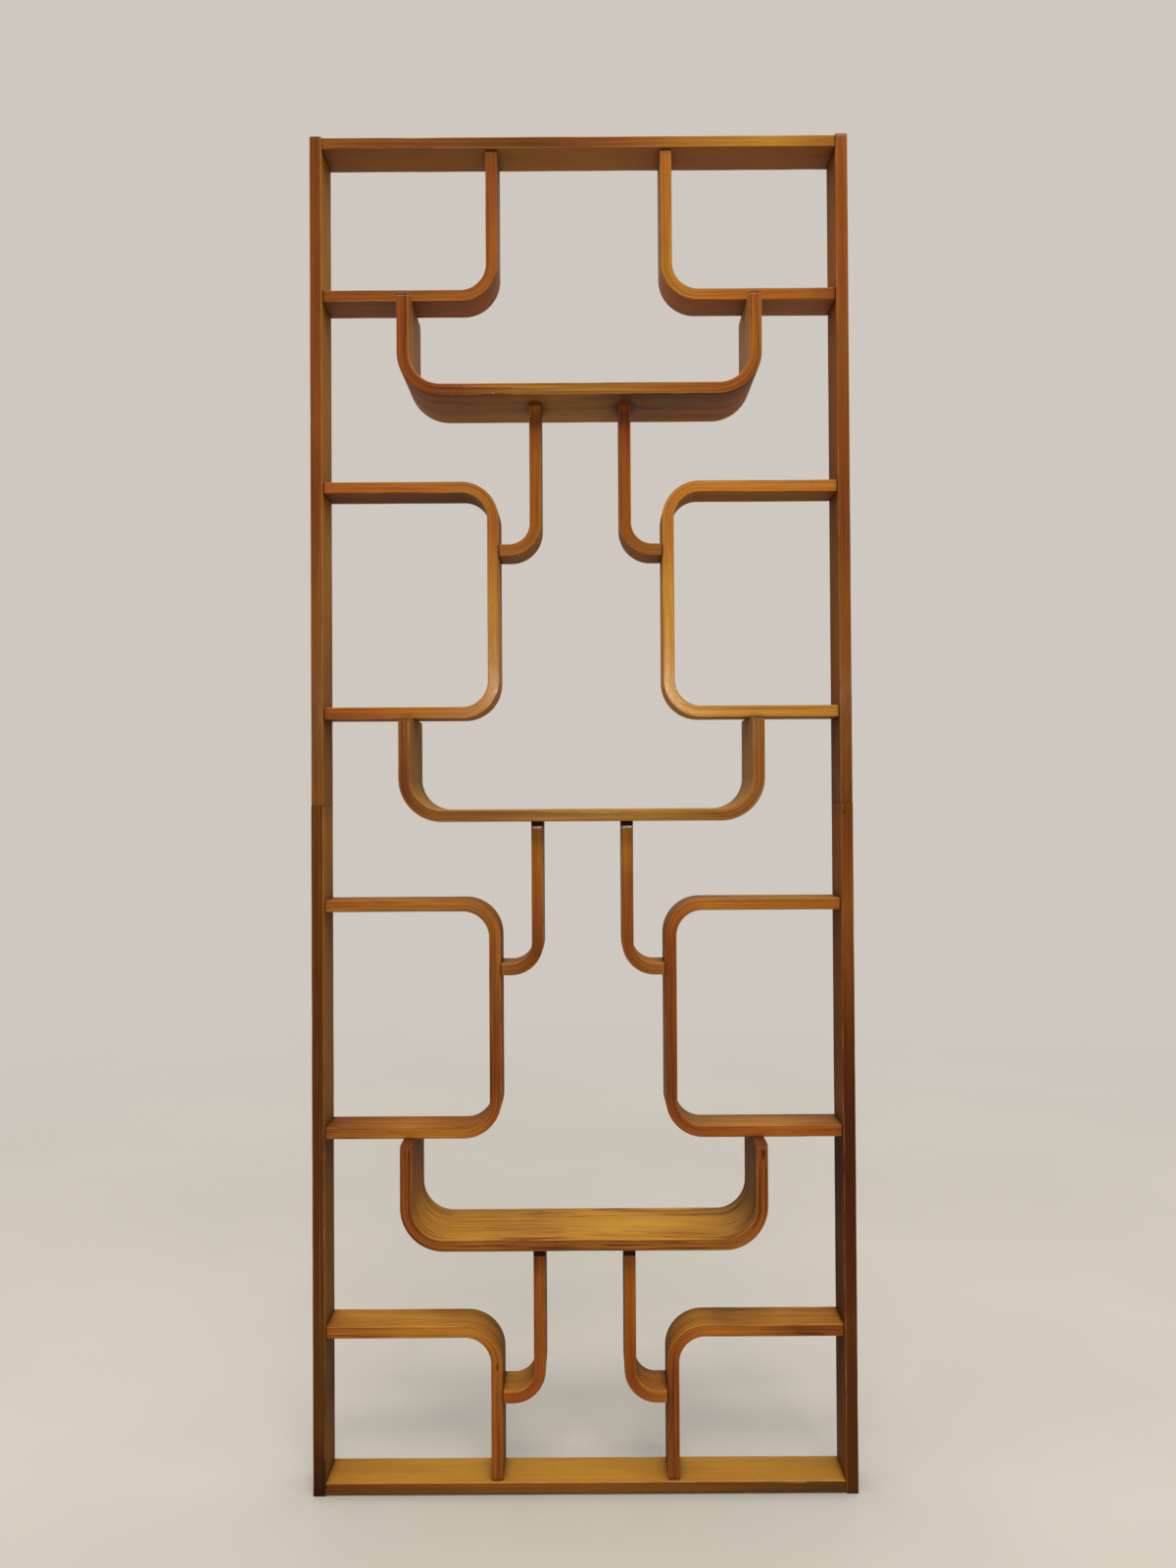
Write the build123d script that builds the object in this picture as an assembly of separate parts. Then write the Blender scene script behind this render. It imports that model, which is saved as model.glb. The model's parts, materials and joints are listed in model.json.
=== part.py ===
from build123d import *
import os

os.makedirs("parts", exist_ok=True)

# A free-standing room divider of bent laminated boards in a tall open frame.
# X runs across the width, Y from the front to the back, Z up from the floor.
# The origin lies on the floor, in the middle of the width and of the depth.

# Overall size
overall_height = 2150.0
overall_width = 857.0
frame_depth = 80.0

# Side boards and rails
side_thickness = 19.5
rail_thickness = 18.0
rail_inset = 2.5
side_joint_rise = 150.0

# Bent boards
board_thickness = 18.5
loop_depth = 74.0
hook_depth = 78.0
tray_depth = 156.0

# Clear widths across the middle of the frame
loop_gap = 260.0
hook_gap = 124.0
tray_width = 570.0

# Heights of the bent boards, and how far the hooks' feet lie below the top of what holds them
bracket_height = 242.0
loop_height = 377.0
tray_height = 163.5
foot_drop = 119.5

# Three open stretches between the brackets and loops share the height that is left
bottom_stretch_share = 0.339
middle_stretch_share = 0.330

# Outer radii of the bends, and the straight end of a hook's foot
loop_bend_radius = 60.0
tray_bend_radius = 68.0
arm_corner_radius = 9.0
foot_run = 16.0

# Spacers between the trays and the hooks that carry them
top_spacer_thickness = 4.0
middle_spacer_thickness = 7.0
bottom_spacer_thickness = 20.0

# Rounded edges
arris_radius = 1.5
seam_arris_radius = 0.4
spacer_arris_radius = 0.6

# Countersunk wood screws
screw_length = 50.0
screw_radius = 2.0
screw_head_radius = 4.0
screw_head_height = 2.4
screw_rim_height = 0.4
screw_tip_length = 6.0
screw_tip_radius = 0.3
screw_slot_width = 1.0
screw_slot_depth = 0.9
screw_spacing = 40.0

# Dowels and tongues
dowel_radius = 4.0
dowel_in_end = 24.0
dowel_in_face = 12.0
dowel_spacing = 44.0
dowel_chamfer = 1.0
tongue_thickness = 6.0
tongue_width = 50.0
tongue_length = 40.0
tongue_arris_radius = 1.0

# Clearances
fit_clearance = 0.1
end_clearance = 0.8
cut_overrun = 1.0

# The middle of an edge, as a share of its length
half_share = 0.5

# Faces that meet at a smaller angle than this, in degrees, run smoothly into each other
smooth_angle_limit = 1.0

# Places worked out from the sizes above
half_width = overall_width / 2
half_loop_gap = loop_gap / 2
half_hook_gap = hook_gap / 2
half_tray_width = tray_width / 2
side_inner = half_width - side_thickness
loop_back = half_loop_gap + board_thickness
top_rail_under = overall_height - rail_inset - rail_thickness
bottom_rail_top = rail_inset + rail_thickness
upper_bracket_under = top_rail_under - bracket_height
lower_bracket_top = bottom_rail_top + bracket_height
open_height = upper_bracket_under - lower_bracket_top - 2 * loop_height
lower_loop_under = lower_bracket_top + bottom_stretch_share * open_height
lower_loop_top = lower_loop_under + loop_height
upper_loop_under = lower_loop_top + middle_stretch_share * open_height
upper_loop_top = upper_loop_under + loop_height
side_joint_height = lower_loop_top + side_joint_rise
arm_centre = half_tray_width - board_thickness / 2
hook_centre = half_hook_gap + board_thickness / 2
hook_bend_radius = half_loop_gap - half_hook_gap - foot_run

# The loops and brackets lie flush with the back of the frame
loop_middle = (frame_depth - loop_depth) / 2

# The three levels: the face that the tray's arms meet, the top of the board that
# holds the hooks' feet, and the spacer under the tray
levels = {
    "top": (upper_bracket_under, upper_loop_top, top_spacer_thickness),
    "middle": (upper_loop_under, lower_loop_top, middle_spacer_thickness),
    "bottom": (lower_loop_under, lower_bracket_top, bottom_spacer_thickness),
}
sides = {"left": -1, "right": 1}


def tray_under(level):
    """Height of the underside of a level's tray."""
    arms_meet, _, _ = levels[level]
    return arms_meet - tray_height


def hook_top(level):
    """Height of the top ends of a level's hooks."""
    _, _, spacer = levels[level]
    return tray_under(level) - spacer


def hook_under(level):
    """Height of the underside of the feet of a level's hooks."""
    _, feet_meet, _ = levels[level]
    return feet_meet - foot_drop


def sharp_edges(solid):
    """The edges where two faces meet at an angle, and not the lines where a bend begins."""
    chosen = []
    for edge in solid.edges():
        middle = edge.position_at(half_share)
        normals = [face.normal_at(middle) for face in solid.faces() if edge in face.edges()]
        if len(normals) == 2 and normals[0].get_angle(normals[1]) > smooth_angle_limit:
            chosen.append(edge)
    return chosen


def front_outline(corners):
    """A face in the front view from corners of (x, z, radius), where a radius of 0 stays sharp."""
    outline = make_face(Polyline(*[(x, z) for x, z, _ in corners], close=True))
    for x, z, radius in corners:
        if radius > 0:
            corner = outline.vertices().sort_by_distance(Vector(x, z))[0]
            outline = fillet(corner, radius)
    return outline


def bent_board(corners, depth, middle):
    """A board bent in the front view, as deep as it is told about a middle depth."""
    return Pos(0, middle, 0) * extrude(Plane.XZ * front_outline(corners), depth / 2, both=True)


def soften(solid, radius):
    """Round all the sharp edges of a solid."""
    return fillet(sharp_edges(solid), radius)


def side_mirror(solid, side):
    """The pieces are drawn on the right, and the left ones are their mirror image."""
    return solid if sides[side] > 0 else mirror(solid, about=Plane.YZ)


def make_loop(top):
    """A loop, open towards the side board, with its upper face at the given height."""
    under = top - loop_height
    inner = loop_bend_radius - board_thickness
    corners = [
        (side_inner, top, 0),
        (half_loop_gap, top, loop_bend_radius),
        (half_loop_gap, under, loop_bend_radius),
        (side_inner, under, 0),
        (side_inner, under + board_thickness, 0),
        (loop_back, under + board_thickness, inner),
        (loop_back, top - board_thickness, inner),
        (side_inner, top - board_thickness, 0),
    ]
    return soften(bent_board(corners, loop_depth, loop_middle), arris_radius)


def make_bracket(rail_face, outward):
    """A bracket from a side board to a rail. Outward is 1 where it stands up to the top rail."""
    far = rail_face - outward * bracket_height
    near = far + outward * board_thickness
    corners = [
        (side_inner, far, 0),
        (half_loop_gap, far, loop_bend_radius),
        (half_loop_gap, rail_face, 0),
        (loop_back, rail_face, 0),
        (loop_back, near, loop_bend_radius - board_thickness),
        (side_inner, near, 0),
    ]
    return soften(bent_board(corners, loop_depth, loop_middle), arris_radius)


def make_hook(level):
    """A hook whose top end carries a tray and whose foot meets the loop or bracket beside it."""
    top = hook_top(level)
    under = hook_under(level)
    corners = [
        (half_hook_gap, top, 0),
        (half_hook_gap, under, hook_bend_radius),
        (half_loop_gap, under, 0),
        (half_loop_gap, under + board_thickness, 0),
        (half_hook_gap + board_thickness, under + board_thickness, hook_bend_radius - board_thickness),
        (half_hook_gap + board_thickness, top, 0),
    ]
    return soften(bent_board(corners, hook_depth, 0), arris_radius)


def make_tray(level):
    """A tray with two upright arms, whose upper corners are rounded in the side view."""
    under = tray_under(level)
    top = under + tray_height
    inner = half_tray_width - board_thickness
    inner_radius = tray_bend_radius - board_thickness
    corners = [
        (-half_tray_width, top, 0),
        (-half_tray_width, under, tray_bend_radius),
        (half_tray_width, under, tray_bend_radius),
        (half_tray_width, top, 0),
        (inner, top, 0),
        (inner, under + board_thickness, inner_radius),
        (-inner, under + board_thickness, inner_radius),
        (-inner, top, 0),
    ]
    tray = bent_board(corners, tray_depth, 0)
    ends = tray.edges().filter_by(Axis.X).group_by(Axis.Z)[-1]
    return soften(fillet(ends, arm_corner_radius), arris_radius)


def make_side_board(low, high, seam_at_top):
    """A side board between two heights, with a fine arris where the two boards of a side meet."""
    section = RectangleRounded(side_thickness, frame_depth, arris_radius)
    board = extrude(Pos(half_width - side_thickness / 2, 0, low) * section, high - low)
    top_edges = board.faces().sort_by(Axis.Z)[-1].edges()
    board = fillet(top_edges, seam_arris_radius if seam_at_top else arris_radius)
    low_edges = board.faces().sort_by(Axis.Z)[0].edges()
    return fillet(low_edges, arris_radius if seam_at_top else seam_arris_radius)


def make_rail(low):
    """A rail between the two side boards."""
    rail = Pos(0, 0, low + rail_thickness / 2) * Box(2 * side_inner, frame_depth, rail_thickness)
    return soften(rail, arris_radius)


def make_spacer(level):
    """A black spacer between a tray and the top end of a hook."""
    _, _, thickness = levels[level]
    middle = hook_top(level) + thickness / 2
    spacer = Pos(hook_centre, 0, middle) * Box(board_thickness, hook_depth, thickness)
    return fillet(spacer.edges().filter_by(Axis.Z), spacer_arris_radius)


def screw_profile(extra):
    """Half the section of a screw that points down, with its head's face at 0, grown by extra."""
    head = screw_head_radius + extra
    shank = screw_radius + extra
    tip = screw_tip_radius + extra
    neck = screw_rim_height + screw_head_height
    return [
        (0, 0),
        (head, 0),
        (head, -screw_rim_height),
        (shank, -neck),
        (shank, screw_tip_length - screw_length),
        (tip, -screw_length - extra),
        (0, -screw_length - extra),
    ]


def turned(profile):
    """A round solid about Z from half its section in (radius, height) points."""
    return revolve(Plane.XZ * make_face(Polyline(*profile, close=True)), Axis.Z)


def make_screw():
    """A slotted countersunk wood screw that points down from the origin."""
    slot_length = 2 * (screw_head_radius + cut_overrun)
    slot_height = 2 * screw_slot_depth
    return turned(screw_profile(0)) - Box(slot_length, screw_slot_width, slot_height)


def make_screw_hole():
    """The hole that a screw needs, open above its head."""
    mouth = Pos(0, 0, cut_overrun / 2) * Cylinder(screw_head_radius + fit_clearance, cut_overrun)
    return turned(screw_profile(fit_clearance)) + mouth


def make_dowel(into_face, between, into_end, extra, end_extra):
    """A dowel about Z, with the face that it enters at 0 and the end grain below it."""
    length = into_face + between + into_end + 2 * end_extra
    middle = (into_face - between - into_end) / 2
    dowel = Cylinder(dowel_radius + extra, length)
    return Pos(0, 0, middle) * chamfer(dowel.edges().filter_by(GeomType.CIRCLE), dowel_chamfer)


def in_pairs(spacing):
    """The two depths, front and back, of fasteners that stand as far apart as spacing."""
    return [-spacing / 2, spacing / 2]


def side_screw_places():
    """Where screws pass through the right-hand side boards, with the heads on the outer face."""
    half_board = board_thickness / 2
    heights = [
        rail_inset + rail_thickness / 2,
        lower_bracket_top - half_board,
        lower_loop_under + half_board,
        lower_loop_top - half_board,
        upper_loop_under + half_board,
        upper_loop_top - half_board,
        upper_bracket_under + half_board,
        top_rail_under + rail_thickness / 2,
    ]
    turn = Rot(0, 90, 0)
    return [Pos(half_width, y, z) * turn for z in heights for y in in_pairs(screw_spacing)]


def rail_screw_places():
    """Where screws pass through the rails into the right-hand brackets."""
    middle = half_loop_gap + board_thickness / 2
    above = overall_height - rail_inset
    down = [Pos(middle, y, above) for y in in_pairs(screw_spacing)]
    up = [Pos(middle, y, rail_inset) * Rot(180, 0, 0) for y in in_pairs(screw_spacing)]
    return down + up


def hook_screw_places():
    """Where screws pass through the right-hand loops and bracket into the feet of the hooks."""
    turn = Rot(0, 90, 0)
    return [Pos(loop_back, 0, hook_under(level) + board_thickness / 2) * turn for level in levels]


def arm_dowel_places(level):
    """Where dowels stand in the right-hand arm of a tray and the board above it."""
    arms_meet, _, _ = levels[level]
    return [Pos(arm_centre, y, arms_meet) for y in in_pairs(dowel_spacing)]


def hook_dowel_places(level):
    """Where dowels pass from a tray through the right-hand spacer into the hook."""
    return [Pos(hook_centre, y, tray_under(level)) for y in in_pairs(dowel_spacing)]


def both_sides(solids):
    """The right-hand solids and their mirror images."""
    return solids + [mirror(solid, about=Plane.YZ) for solid in solids]


def gather(solids):
    """Separate solids as one group."""
    return Compound(children=solids)


def drill(board, cutters):
    """A board with the cutters that reach into it taken away."""
    box = board.bounding_box()
    near = [cutter for cutter in cutters if box.overlaps(cutter.bounding_box())]
    for cutter in near:
        board = board - cutter
    return board


# Fasteners and the holes that they need, on the right-hand side
screw = make_screw()
screw_hole = make_screw_hole()
side_screws = [place * screw for place in side_screw_places()]
rail_screws = [place * screw for place in rail_screw_places()]
hook_screws = [place * screw for place in hook_screw_places()]
screw_places = side_screw_places() + rail_screw_places() + hook_screw_places()
right_cutters = [place * screw_hole for place in screw_places]

arm_dowels = []
hook_dowels = []
for level, (_, _, spacer) in levels.items():
    arm_dowel = make_dowel(dowel_in_face, 0, dowel_in_end, 0, 0)
    arm_hole = make_dowel(dowel_in_face, 0, dowel_in_end, fit_clearance, end_clearance)
    hook_dowel = make_dowel(dowel_in_face, spacer, dowel_in_end, 0, 0)
    hook_hole = make_dowel(dowel_in_face, spacer, dowel_in_end, fit_clearance, end_clearance)
    arm_dowels += [place * arm_dowel for place in arm_dowel_places(level)]
    hook_dowels += [place * hook_dowel for place in hook_dowel_places(level)]
    right_cutters += [place * arm_hole for place in arm_dowel_places(level)]
    right_cutters += [place * hook_hole for place in hook_dowel_places(level)]

side_middle = Pos(half_width - side_thickness / 2, 0, side_joint_height)
tongue = Box(tongue_thickness, tongue_width, tongue_length)
tongue = side_middle * fillet(tongue.edges().filter_by(Axis.Z), tongue_arris_radius)
groove = side_middle * Box(
    tongue_thickness + 2 * fit_clearance,
    tongue_width + 2 * fit_clearance,
    tongue_length + 2 * end_clearance,
)
right_cutters.append(groove)
all_cutters = both_sides(right_cutters)

# Boards of the frame
pieces = {
    "top_rail": make_rail(top_rail_under),
    "bottom_rail": make_rail(rail_inset),
}
upper_side = make_side_board(side_joint_height, overall_height, False)
lower_side = make_side_board(0, side_joint_height, True)
upper_bracket = make_bracket(top_rail_under, 1)
lower_bracket = make_bracket(bottom_rail_top, -1)
upper_loop = make_loop(upper_loop_top)
lower_loop = make_loop(lower_loop_top)
for side in sides:
    pieces[side + "_upper_side"] = side_mirror(upper_side, side)
    pieces[side + "_lower_side"] = side_mirror(lower_side, side)
    pieces[side + "_upper_bracket"] = side_mirror(upper_bracket, side)
    pieces[side + "_lower_bracket"] = side_mirror(lower_bracket, side)
    pieces[side + "_upper_loop"] = side_mirror(upper_loop, side)
    pieces[side + "_lower_loop"] = side_mirror(lower_loop, side)

# Trays, and the hooks and spacers that carry them
for level in levels:
    pieces[level + "_tray"] = make_tray(level)
    hook = make_hook(level)
    spacer = make_spacer(level)
    for side in sides:
        pieces[level + "_" + side + "_hook"] = side_mirror(hook, side)
        pieces[level + "_" + side + "_spacer"] = side_mirror(spacer, side)

pieces = {name: drill(board, all_cutters) for name, board in pieces.items()}

# Fasteners as groups of separate solids
pieces["right_side_screws"] = gather(side_screws)
pieces["left_side_screws"] = gather([mirror(one, about=Plane.YZ) for one in side_screws])
pieces["rail_screws"] = gather(both_sides(rail_screws))
pieces["hook_screws"] = gather(both_sides(hook_screws))
pieces["arm_dowels"] = gather(both_sides(arm_dowels))
pieces["hook_dowels"] = gather(both_sides(hook_dowels))
pieces["side_tongues"] = gather(both_sides([tongue]))

for name, piece in pieces.items():
    export_step(piece, "parts/" + name + ".step")
print(len(pieces), "sub-parts written")
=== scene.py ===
# %% [markdown]
# # A room divider of bent laminated boards
# The real object is a tall open frame filled with boards that were glued up from thin
# veneers in curved moulds: four loops, four brackets, three deep trays and six hooks.
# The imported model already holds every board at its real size, so this lesson keeps to
# those places and adds what a drawing leaves out: grain that runs round the bends, edges
# that show the veneers, worn corners, small damage, and a soft lacquer.

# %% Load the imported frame
import json
import math

import bmesh
import bpy
from mathutils import Matrix, Vector, noise


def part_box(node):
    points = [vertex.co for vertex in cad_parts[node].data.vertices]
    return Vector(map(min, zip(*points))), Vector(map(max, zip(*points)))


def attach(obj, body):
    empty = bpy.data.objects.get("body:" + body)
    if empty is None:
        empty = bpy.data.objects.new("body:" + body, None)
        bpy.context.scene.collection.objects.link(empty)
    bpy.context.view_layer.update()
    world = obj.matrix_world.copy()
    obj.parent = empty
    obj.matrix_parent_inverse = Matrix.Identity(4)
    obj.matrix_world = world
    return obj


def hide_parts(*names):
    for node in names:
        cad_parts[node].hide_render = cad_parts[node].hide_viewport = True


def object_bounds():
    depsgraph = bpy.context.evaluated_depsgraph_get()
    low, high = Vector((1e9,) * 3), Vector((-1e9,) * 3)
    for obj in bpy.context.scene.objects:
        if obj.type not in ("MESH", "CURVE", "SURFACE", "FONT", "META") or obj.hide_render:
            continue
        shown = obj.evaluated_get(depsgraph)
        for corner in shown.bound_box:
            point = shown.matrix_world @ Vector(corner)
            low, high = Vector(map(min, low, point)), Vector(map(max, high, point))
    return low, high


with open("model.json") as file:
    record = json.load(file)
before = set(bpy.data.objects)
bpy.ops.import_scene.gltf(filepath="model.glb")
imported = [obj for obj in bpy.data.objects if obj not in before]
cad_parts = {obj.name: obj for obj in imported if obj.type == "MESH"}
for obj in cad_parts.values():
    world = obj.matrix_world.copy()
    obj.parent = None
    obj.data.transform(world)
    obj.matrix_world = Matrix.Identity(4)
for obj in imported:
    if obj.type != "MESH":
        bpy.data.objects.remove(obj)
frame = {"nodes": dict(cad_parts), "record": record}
cad_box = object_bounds()
print("nodes in the frame:", len(frame["nodes"]))

# %% [markdown]
# ## Sizes
# Everything below is in metres. Most sizes are read from the boxes of the imported nodes,
# so the boards here can't drift away from the construction. Only what a box can't tell
# is given: the bends, the straight end of a hook's foot, and the rounded arms.

# %% Read the sizes from the frame
levels = ("top", "middle", "bottom")
sides = {"left": -1, "right": 1}
spacer_low, spacer_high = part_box("bottom_right_spacer")
board_thickness = spacer_high.x - spacer_low.x
loop_bend = 0.060
tray_bend = 0.068
foot_run = 0.016
foot_low, foot_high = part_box("top_right_hook")
hook_bend = foot_high.x - foot_low.x - foot_run
arm_corner = 0.009
end_rounding = 0.0012
print("boards are", round(board_thickness * 1000, 1), "mm thick")

# %% [markdown]
# ## The camera
# The picture was taken from about two metres in front of the divider, a little over a
# metre up, with the camera tipped up by less than one degree. A camera in Blender looks
# along its own -Z axis, so its matrix is built from three directions: right, up and back.
# The focal length is found from the picture's height, because that is its longer side.

# %% Place the camera
picture_height = 1600
focal_pixels = 1352
sensor_size = 36.0
camera_place = Vector((0.0108, -2.1346, 1.0906))
yaw, pitch, roll = -0.0005, 0.0126, -0.0058


def put_in_scene(name, data):
    """An object in the scene for a camera, a lamp or a mesh."""
    thing = bpy.data.objects.new(name, data)
    bpy.context.scene.collection.objects.link(thing)
    return thing


def camera_axes():
    """The right, up and forward directions of the camera."""
    ahead = Vector((math.sin(yaw) * math.cos(pitch), math.cos(yaw) * math.cos(pitch), math.sin(pitch)))
    level_right = ahead.cross(Vector((0, 0, 1))).normalized()
    level_up = level_right.cross(ahead)
    right = math.cos(roll) * level_right + math.sin(roll) * level_up
    up = -math.sin(roll) * level_right + math.cos(roll) * level_up
    return right, up, ahead


def place_camera():
    """The camera at the place and angle of the picture."""
    data = bpy.data.cameras.new("camera")
    data.sensor_fit = "AUTO"
    data.sensor_width = sensor_size
    data.lens = focal_pixels / picture_height * sensor_size
    camera = put_in_scene("camera", data)
    right, up, ahead = camera_axes()
    turned = Matrix((right, up, -ahead)).transposed().to_4x4()
    camera.matrix_world = Matrix.Translation(camera_place) @ turned
    bpy.context.scene.camera = camera
    return camera


camera = place_camera()
print("lens", round(camera.data.lens, 2), "mm")

# %% [markdown]
# ## A small kit for shader nodes
# Every finish here is a network of nodes. Wiring them one by one takes many lines, so a
# small helper makes a node, fills its sockets with numbers, and links what is not a
# number. The finishes below then read like the sentences that describe them.


# %% Wire shader nodes with few words
class Wires:
    """Makes and links the nodes of one material or world."""

    def __init__(self, owner):
        owner.use_nodes = True
        self.tree = owner.node_tree
        self.tree.nodes.clear()

    def fill(self, sockets, values):
        """Links outputs to sockets, or writes plain values into them."""
        for socket, value in zip(sockets, values):
            if isinstance(value, bpy.types.NodeSocket):
                self.tree.links.new(value, socket)
            else:
                socket.default_value = value

    def add(self, kind, settings=None, **inputs):
        """A node of a kind, with its settings and its named inputs."""
        node = self.tree.nodes.new("ShaderNode" + kind)
        for key, value in (settings or {}).items():
            setattr(node, key, value)
        sockets = [node.inputs[name.replace("_", " ")] for name in inputs]
        self.fill(sockets, inputs.values())
        return node

    def math(self, operation, *values, clamp=False):
        """One number worked out from others."""
        node = self.add("Math", {"operation": operation, "use_clamp": clamp})
        self.fill(node.inputs, values)
        return node.outputs[0]

    def times(self, first, second):
        """The product of two numbers."""
        return self.math("MULTIPLY", first, second)

    def plus(self, first, second):
        """The sum of two numbers."""
        return self.math("ADD", first, second)

    def minus(self, first, second):
        """The first number less the second."""
        return self.math("SUBTRACT", first, second)

    def times_plus(self, part, weight, base):
        """A base with a part added to it at some weight."""
        return self.math("MULTIPLY_ADD", part, weight, base)

    def vector(self, x, y, z):
        """A vector from three numbers."""
        return self.add("CombineXYZ", X=x, Y=y, Z=z).outputs[0]

    def vector_math(self, operation, *vectors):
        """A vector worked out from others, or the length of one."""
        node = self.add("VectorMath", {"operation": operation})
        self.fill(node.inputs, vectors)
        return node.outputs["Value" if operation == "LENGTH" else "Vector"]

    def noise(self, place, detail=2.0, roughness=0.5, distortion=0.0):
        """Smooth noise from 0 to 1 at a place whose stretch was chosen before."""
        return self.add("TexNoise", Vector=place, Scale=1.0, Detail=detail, Roughness=roughness,
                        Distortion=distortion).outputs[0]

    def span(self, value, low, high, new_low=0.0, new_high=1.0):
        """A value brought from one span to another and kept inside it."""
        node = self.add("MapRange", {"interpolation_type": "SMOOTHSTEP"})
        self.fill(node.inputs, (value, low, high, new_low, new_high))
        return node.outputs[0]

    def mix(self, share, first, second):
        """Two colours mixed by a share."""
        node = self.add("Mix", {"data_type": "RGBA"})
        self.fill((node.inputs[0], node.inputs[6], node.inputs[7]), (share, first, second))
        return node.outputs[2]

    def mix_shaders(self, share, first, second):
        """Two shaders mixed by a share."""
        node = self.add("MixShader")
        self.fill(node.inputs, (share, first, second))
        return node.outputs[0]

    def ramp(self, value, stops):
        """A colour picked from a few stops of (place, colour)."""
        node = self.add("ValToRGB", Fac=value)
        elements = node.color_ramp.elements
        while len(elements) < len(stops):
            elements.new(0.5)
        for element, (place, colour) in zip(elements, stops):
            element.position = place
            element.color = (*colour, 1.0)
        return node.outputs[0]

    def bump(self, height, distance, strength, **base):
        """A surface that is pushed in and out by a height from 0 to 1."""
        return self.add("Bump", Height=height, Distance=distance, Strength=strength, **base).outputs[0]

    def looked_at(self):
        """1 where a ray comes from the camera or from a reflection, and 0 for light."""
        ray = self.add("LightPath").outputs
        return self.math("MAXIMUM", ray["Is Camera Ray"], ray["Is Glossy Ray"])

    def scaled_place(self, scale):
        """The place on the divider, scaled along each axis."""
        return self.vector_math("MULTIPLY", self.add("TexCoord").outputs["Object"], scale)

    def end(self, shader, kind="Material"):
        """Sends a shader to the output."""
        self.add("Output" + kind, Surface=shader)


print("shader helper ready")

# %% [markdown]
# ## Floor, background and light
# A plain pale floor carries the soft shadow. Far from the divider it fades into the
# colour of the background, so no hard horizon crosses the picture. The fade and the
# background are only for the eye: the light that falls on the wood comes from a dim
# even sky and from two soft lamps in front. The large high one makes the soft shadows.
# The small low one stands far away, and its reflection is the pale area on the lower
# bends of the upper loops.

# %% Set up floor, world and lamps
pale = (0.62, 0.58, 0.53, 1.0)
floor_colour = (0.38, 0.355, 0.32, 1.0)
bounce_colour = (0.26, 0.21, 0.165, 1.0)
sky_colour = (1.0, 0.98, 0.95, 1.0)
sky_span = (-0.1, 0.9, 0.06, 1.7)
mottle_span = (0.3, 0.7, 0.0, 0.10)
floor_reach = 40.0
fade_start, fade_end = 1.6, 5.2
lamp_aim = Vector((0, 0, 1.1))


def make_world():
    """An even sky for light, and a pale colour for the eye and for reflections."""
    world = bpy.data.worlds.new("World")
    bpy.context.scene.world = world
    w = Wires(world)
    height = w.add("SeparateXYZ", Vector=w.add("TexCoord").outputs["Generated"]).outputs[2]
    sky = w.add("Background", Color=sky_colour, Strength=w.span(height, *sky_span)).outputs[0]
    shown = w.add("Background", Color=pale, Strength=1.0).outputs[0]
    through_glass = w.add("LightPath").outputs["Is Transmission Ray"]
    w.end(w.mix_shaders(w.math("MAXIMUM", w.looked_at(), through_glass), sky, shown), "World")


def floor_finish():
    """Matt pale floor paint that fades into the background colour."""
    material = bpy.data.materials.new("pale_floor")
    w = Wires(material)
    place = w.add("NewGeometry").outputs["Position"]
    far = w.span(w.vector_math("LENGTH", place), fade_start, fade_end)
    mottle = w.noise(place, detail=3.0)
    colour = w.mix(w.span(mottle, *mottle_span), floor_colour, pale)
    colour = w.mix(w.looked_at(), bounce_colour, colour)
    paint = w.add("BsdfPrincipled", Base_Color=colour, Roughness=0.7).outputs[0]
    shown = w.add("Emission", Color=pale, Strength=1.0).outputs[0]
    w.end(w.mix_shaders(w.times(far, w.looked_at()), paint, shown))
    return material


def make_floor():
    """A large flat floor at the height of the divider's feet."""
    mesh = bpy.data.meshes.new("floor")
    signs = ((-1, -1), (1, -1), (1, 1), (-1, 1))
    mesh.from_pydata([(x * floor_reach, y * floor_reach, 0) for x, y in signs], [], [(0, 1, 2, 3)])
    mesh.materials.append(floor_finish())
    floor = put_in_scene("floor", mesh)


def soft_lamp(name, place, size, power, colour):
    """A rectangular lamp that looks at the middle of the divider."""
    data = bpy.data.lights.new(name, "AREA")
    data.shape = "RECTANGLE"
    data.size, data.size_y = size
    data.energy = power
    data.color = colour
    lamp = put_in_scene(name, data)
    lamp.location = place
    lamp.rotation_euler = (lamp_aim - Vector(place)).to_track_quat("-Z", "Y").to_euler()
    lamp.visible_camera = False


make_world()
make_floor()
soft_lamp("high_lamp", (0.3, -4.6, 6.2), (3.2, 2.4), 300, (1.0, 0.97, 0.90))
soft_lamp("low_lamp", (0.0, -7.0, 1.73), (0.9, 0.2), 110, (1.0, 1.0, 0.92))
bpy.context.scene.view_settings.view_transform = "Standard"
print("floor, world and two lamps")

# %% [markdown]
# ## The line that a board follows
# A bent board is a stack of veneers pressed round a mould. In the front view its outer
# face is a chain of straight runs and quarter turns, and everything else on the board can
# be found from that line: the inner face lies one thickness further in, and the grain
# runs along it. The line is therefore kept as a list of stretches, and one function can
# say for any distance where the outer face is and which way the inside lies.


# %% Chain straight runs and bends
tiny = 1e-9
same_distance = 1e-7


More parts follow.
